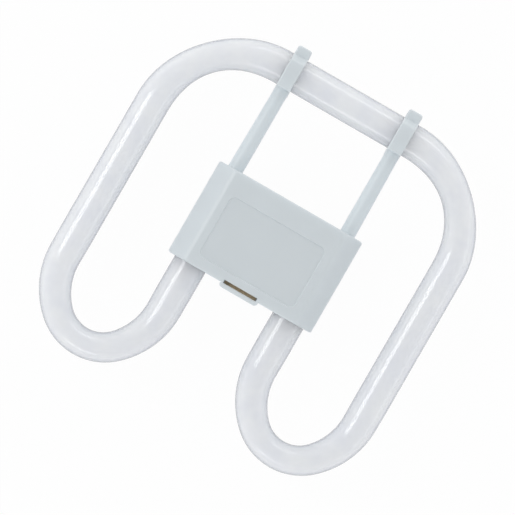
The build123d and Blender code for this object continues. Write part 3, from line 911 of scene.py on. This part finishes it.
def moulded_plastic(colours):
    """PBT moulded in a spark-eroded tool: satin, a little translucent, with a very fine even grain."""
    material, tree = new_material("moulded_pbt")
    flow = noise(tree, 12 * mm, Detail=2.0)
    tone = mottled(tree, flow, colours.moulding, 0.985)
    grain = noise(tree, 0.35 * mm, Detail=2.0, Roughness=0.6)
    surface(
        tree,
        {
            "Base Color": tone,
            "Roughness": level_band(tree, flow, 0.27, 0.33),
            "Normal": bump(tree, grain, 0.008 * mm),
        },
        IOR=1.5,
        Subsurface_Weight=0.3,
        Subsurface_Radius=(1.0, 1.0, 1.0),
        Subsurface_Scale=4 * mm,
    )
    return material


def plated_brass():
    """Turned brass under nickel plate: bright, with fine turning lines round the pin."""
    material, tree = new_material("nickel_plated_brass")
    lines = noise(tree, 0.5 * mm, Detail=3.0)
    gloss = level_band(tree, lines, 0.18, 0.3)
    relief = bump(tree, lines, 0.004 * mm)
    surface(tree, {"Roughness": gloss, "Normal": relief}, Base_Color=linear("#D5D0C4"), Metallic=1.0)
    return material


def phenolic_paper(colours):
    """Pressed paper board bound with phenolic resin: brown, with darker flecks and a dull gloss."""
    material, tree = new_material("phenolic_paper_board")
    fibre = noise(tree, 0.8 * mm, Detail=5.0, Roughness=0.7)
    fleck = shade(colours.board, 0.7)
    resin = shade(colours.board, 1.15)
    tone = colour_band(tree, fibre, 0.35, fleck, 0.65, resin)
    surface(tree, {"Base Color": tone, "Normal": bump(tree, fibre, 0.02 * mm)}, Roughness=0.5)
    return material


def clear_glass():
    """Blown bulb of clear glass, seen as a grey shine over a dark inside."""
    material, tree = new_material("clear_blown_glass")
    wave = noise(tree, 4 * mm, Detail=1.0)
    surface(
        tree,
        {"Normal": bump(tree, wave, 0.05 * mm)},
        Base_Color=linear("#DCE3E2"),
        Roughness=0.03,
        IOR=1.5,
        Transmission_Weight=0.9,
    )
    return material


def dipped_epoxy(colours):
    """Epoxy powder melted on by dipping: brown orange, glossy, with a gentle orange-peel."""
    material, tree = new_material("dipped_epoxy")
    peel = noise(tree, 1.2 * mm, Detail=2.0)
    tone = mottled(tree, peel, colours.epoxy, 0.85)
    surface(tree, {"Base Color": tone, "Normal": bump(tree, peel, 0.05 * mm)}, Roughness=0.25)
    return material


def tinned_copper():
    """Copper wire dipped in tin: a soft silver with a faint streak."""
    material, tree = new_material("tinned_copper")
    streak = noise(tree, 0.6 * mm, Detail=2.0)
    gloss = level_band(tree, streak, 0.28, 0.42)
    surface(tree, {"Roughness": gloss}, Base_Color=linear("#C9C9C6"), Metallic=1.0)
    return material


def glass_sleeving(colours):
    """Braided glass-fibre sleeve stiffened with varnish: cream, with a fine crossed weave."""
    material, tree = new_material("glass_fibre_sleeving")
    weave = pattern(tree, "ShaderNodeTexVoronoi", 0.4 * mm).outputs["Distance"]
    gap = shade(colours.sleeving, 0.72)
    tone = colour_band(tree, weave, 0.1, colours.sleeving[:], 0.7, gap)
    surface(tree, {"Base Color": tone, "Normal": bump(tree, weave, 0.06 * mm)}, Roughness=0.6)
    return material


def soft_silicone(colours):
    """Silicone cast soft: milky, with a dull skin."""
    material, tree = new_material("cast_silicone")
    skin = noise(tree, 0.7 * mm, Detail=2.0)
    tone = mottled(tree, skin, colours.silicone, 0.92)
    surface(tree, {"Base Color": tone, "Normal": bump(tree, skin, 0.02 * mm)}, Roughness=0.65)
    return material


def pale_floor(colours):
    """Matt white paper. Seen straight, in gloss or through glass, it is mostly its own plain white."""
    material, tree = new_material("white_paper")
    own_white = 0.96
    path = add_node(tree, "ShaderNodeLightPath").outputs
    seen = path["Is Camera Ray"]
    for ray in ("Is Glossy Ray", "Is Transmission Ray"):
        seen = add_node(tree, "ShaderNodeMath", {0: seen, 1: path[ray]}, operation="MAXIMUM").outputs[0]
    share = add_node(tree, "ShaderNodeMath", {0: seen}, operation="MULTIPLY")
    share.inputs[1].default_value = own_white
    fibre = noise(tree, 3 * mm, Detail=3.0)
    tone = mottled(tree, fibre, colours.floor, 0.99)
    paper = add_node(tree, "ShaderNodeBsdfDiffuse", {"Color": tone}).outputs["BSDF"]
    plain = add_node(tree, "ShaderNodeEmission", Color=colours.floor[:], Strength=1.0).outputs["Emission"]
    mixed = add_node(tree, "ShaderNodeMixShader", {0: share.outputs[0], 1: paper, 2: plain})
    add_node(tree, "ShaderNodeOutputMaterial", {"Surface": mixed.outputs["Shader"]})
    return material


def give(piece, material, replaced):
    """Finish a new piece: its material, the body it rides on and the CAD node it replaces."""
    piece.data.materials.clear()
    piece.data.materials.append(material)
    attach(piece, "root")
    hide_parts(replaced)


def finish_node(name, material):
    """Give a CAD node its material."""
    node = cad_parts[name]
    for slot in node.material_slots:
        slot.material = material


# Operators

class SQUARE_LAMP_OT_glass_tube(bpy.types.Operator):
    """Draw the bent glass tube with its phosphor coat"""
    bl_idname = "square_lamp.glass_tube"
    bl_label = "Glass Tube"

    def execute(self, context):
        tube = glass_tube(context.scene.lamp_glass)
        give(tube, coated_glass(context.scene.lamp_colours), "discharge_tube")
        return {"FINISHED"}


class SQUARE_LAMP_OT_housing(bpy.types.Operator):
    """Mould the front half with its arms and clips, and the rear half with its cap"""
    bl_idname = "square_lamp.housing"
    bl_label = "Housing"

    def execute(self, context):
        scene = context.scene
        plastic = moulded_plastic(scene.lamp_colours)
        front = front_moulding(scene.lamp_housing, scene.lamp_glass, scene.lamp_arms)
        give(front, plastic, "front_cover")
        rear = rear_moulding(scene.lamp_housing, scene.lamp_glass, scene.lamp_cap)
        give(rear, plastic, "rear_shell")
        return {"FINISHED"}


class SQUARE_LAMP_OT_contact_pins(bpy.types.Operator):
    """Turn the two contact pins of the cap"""
    bl_idname = "square_lamp.contact_pins"
    bl_label = "Contact Pins"

    def execute(self, context):
        metal = plated_brass()
        for side, node in ((1, "right_pin"), (-1, "left_pin")):
            pin = contact_pin(side, context.scene.lamp_housing, context.scene.lamp_cap)
            give(pin, metal, node)
        return {"FINISHED"}


class SQUARE_LAMP_OT_starter(bpy.types.Operator):
    """Finish the board, the glow starter, the wires and the beds inside the housing"""
    bl_idname = "square_lamp.starter"
    bl_label = "Starter Parts"

    def execute(self, context):
        colours = context.scene.lamp_colours
        finish_node("starter_board", phenolic_paper(colours))
        finish_node("starter_bulb", clear_glass())
        finish_node("suppressor_capacitor", dipped_epoxy(colours))
        wire = tinned_copper()
        for name in ("bulb_wire_right", "bulb_wire_left", "capacitor_wire_upper", "capacitor_wire_lower"):
            finish_node(name, wire)
        sleeving = glass_sleeving(colours)
        silicone = soft_silicone(colours)
        for side in ("right", "left"):
            finish_node(side + "_pin_lead", wire)
            finish_node(side + "_starter_lead", wire)
            finish_node(side + "_pin_lead_sleeve", sleeving)
            finish_node(side + "_starter_lead_sleeve", sleeving)
            finish_node(side + "_glass_bed", silicone)
        return {"FINISHED"}


class SQUARE_LAMP_OT_stage(bpy.types.Operator):
    """Lay the floor, hang the lights and place the camera"""
    bl_idname = "square_lamp.stage"
    bl_label = "Stage"

    def execute(self, context):
        lay_floor(context.scene.lamp_colours)
        hang_lights()
        light_world(context.scene)
        place_camera(context.scene)
        return {"FINISHED"}


# Stage

def lay_floor(colours):
    """A floor much wider than the lamp."""
    bpy.ops.mesh.primitive_plane_add(size=6.0, location=(0, 0, 0))
    floor = bpy.context.object
    floor.name = "floor"
    floor.data.materials.append(pale_floor(colours))


def soft_light(name, width, height, place, target, watts):
    """A soft panel of light that faces a point."""
    data = bpy.data.lights.new(name, "AREA")
    data.shape = "RECTANGLE"
    data.size = width
    data.size_y = height
    data.energy = watts
    lamp = bpy.data.objects.new(name, data)
    bpy.context.scene.collection.objects.link(lamp)
    lamp.location = place
    lamp.rotation_euler = (Vector(target) - Vector(place)).to_track_quat("-Z", "Y").to_euler()


def hang_lights():
    """Soft panels round the lamp, low enough to model the slopes and the tube.

    The key is on the lamp's left. Each panel has a width, a height, a place and its watts.
    """
    middle = (0, 0, 18 * mm)
    panels = {
        "key_panel": (0.16, 0.4, (-0.57, 0, 0.66), 0.85),
        "low_left_panel": (1.2, 0.3, (-0.92, 0, 0.24), 0.55),
        "low_right_panel": (0.9, 0.2, (0.88, 0.1, 0.31), 0.5),
        "top_panel": (0.7, 0.22, (0, 0.85, 0.4), 0.95),
        "bottom_panel": (0.5, 0.2, (0, -0.85, 0.4), 0.65),
    }
    for name, (width, height, place, watts) in panels.items():
        soft_light(name, width, height, place, middle, watts)


def light_world(scene):
    """A pale surround, bright all round the horizon and dimmer overhead, where the camera looks in."""
    horizon = 1.0
    overhead = 0.48
    world = bpy.data.worlds.new("surround")
    world.use_nodes = True
    tree = world.node_tree
    tree.nodes.clear()
    direction = add_node(tree, "ShaderNodeTexCoord").outputs["Generated"]
    height = add_node(tree, "ShaderNodeSeparateXYZ", {"Vector": direction}).outputs["Z"]
    strength = level_band(tree, height, horizon, overhead)
    surround = add_node(tree, "ShaderNodeBackground", {"Strength": strength}, Color=linear("#FAFBFC"))
    add_node(tree, "ShaderNodeOutputWorld", {"Surface": surround.outputs["Background"]})
    scene.world = world


def place_camera(scene):
    """Straight down on the front from afar, turned so that the lamp leans as in the photograph."""
    frame_width = 188.9 * mm
    distance = 1.6
    sensor = 36.0
    lean = radians(30)
    aim_x = -0.55 * mm
    aim_y = -4.77 * mm
    aim_z = 20 * mm
    sight = 20.0
    data = bpy.data.cameras.new("camera")
    data.sensor_width = sensor
    data.lens = sensor * distance / frame_width
    data.clip_end = sight
    camera = bpy.data.objects.new("camera", data)
    scene.collection.objects.link(camera)
    camera.location = (aim_x, aim_y, aim_z + distance)
    camera.rotation_euler = (0, 0, lean)
    scene.camera = camera
    scene.view_settings.view_transform = "Standard"


class SQUARE_LAMP_PT_panel(bpy.types.Panel):
    """Steps and sizes of the lamp"""
    bl_idname = "SQUARE_LAMP_PT_panel"
    bl_label = "Square Lamp"
    bl_space_type = "VIEW_3D"
    bl_region_type = "UI"
    bl_category = "Square Lamp"

    def draw(self, context):
        for step in steps:
            self.layout.operator(step)
        for group_name in groups:
            group = getattr(context.scene, group_name)
            column = self.layout.column(align=True)
            for name in group.bl_rna.properties.keys():
                if name not in ("rna_type", "name"):
                    column.prop(group, name)


steps = (
    "square_lamp.glass_tube",
    "square_lamp.housing",
    "square_lamp.contact_pins",
    "square_lamp.starter",
    "square_lamp.stage",
)
groups = {
    "lamp_glass": GlassSizes,
    "lamp_housing": HousingSizes,
    "lamp_arms": ArmSizes,
    "lamp_cap": CapSizes,
    "lamp_colours": Colours,
}
operators = (
    SQUARE_LAMP_OT_glass_tube,
    SQUARE_LAMP_OT_housing,
    SQUARE_LAMP_OT_contact_pins,
    SQUARE_LAMP_OT_starter,
    SQUARE_LAMP_OT_stage,
    SQUARE_LAMP_PT_panel,
)


def register():
    for name, group in groups.items():
        bpy.utils.register_class(group)
        setattr(bpy.types.Scene, name, PointerProperty(type=group))
    for operator in operators:
        bpy.utils.register_class(operator)


def unregister():
    for operator in reversed(operators):
        bpy.utils.unregister_class(operator)
    for name, group in groups.items():
        delattr(bpy.types.Scene, name)
        bpy.utils.unregister_class(group)


def main():
    register()
    bpy.ops.square_lamp.glass_tube()
    bpy.ops.square_lamp.housing()
    bpy.ops.square_lamp.contact_pins()
    bpy.ops.square_lamp.starter()
    bpy.ops.square_lamp.stage()


if __name__ == "__main__":
    main()
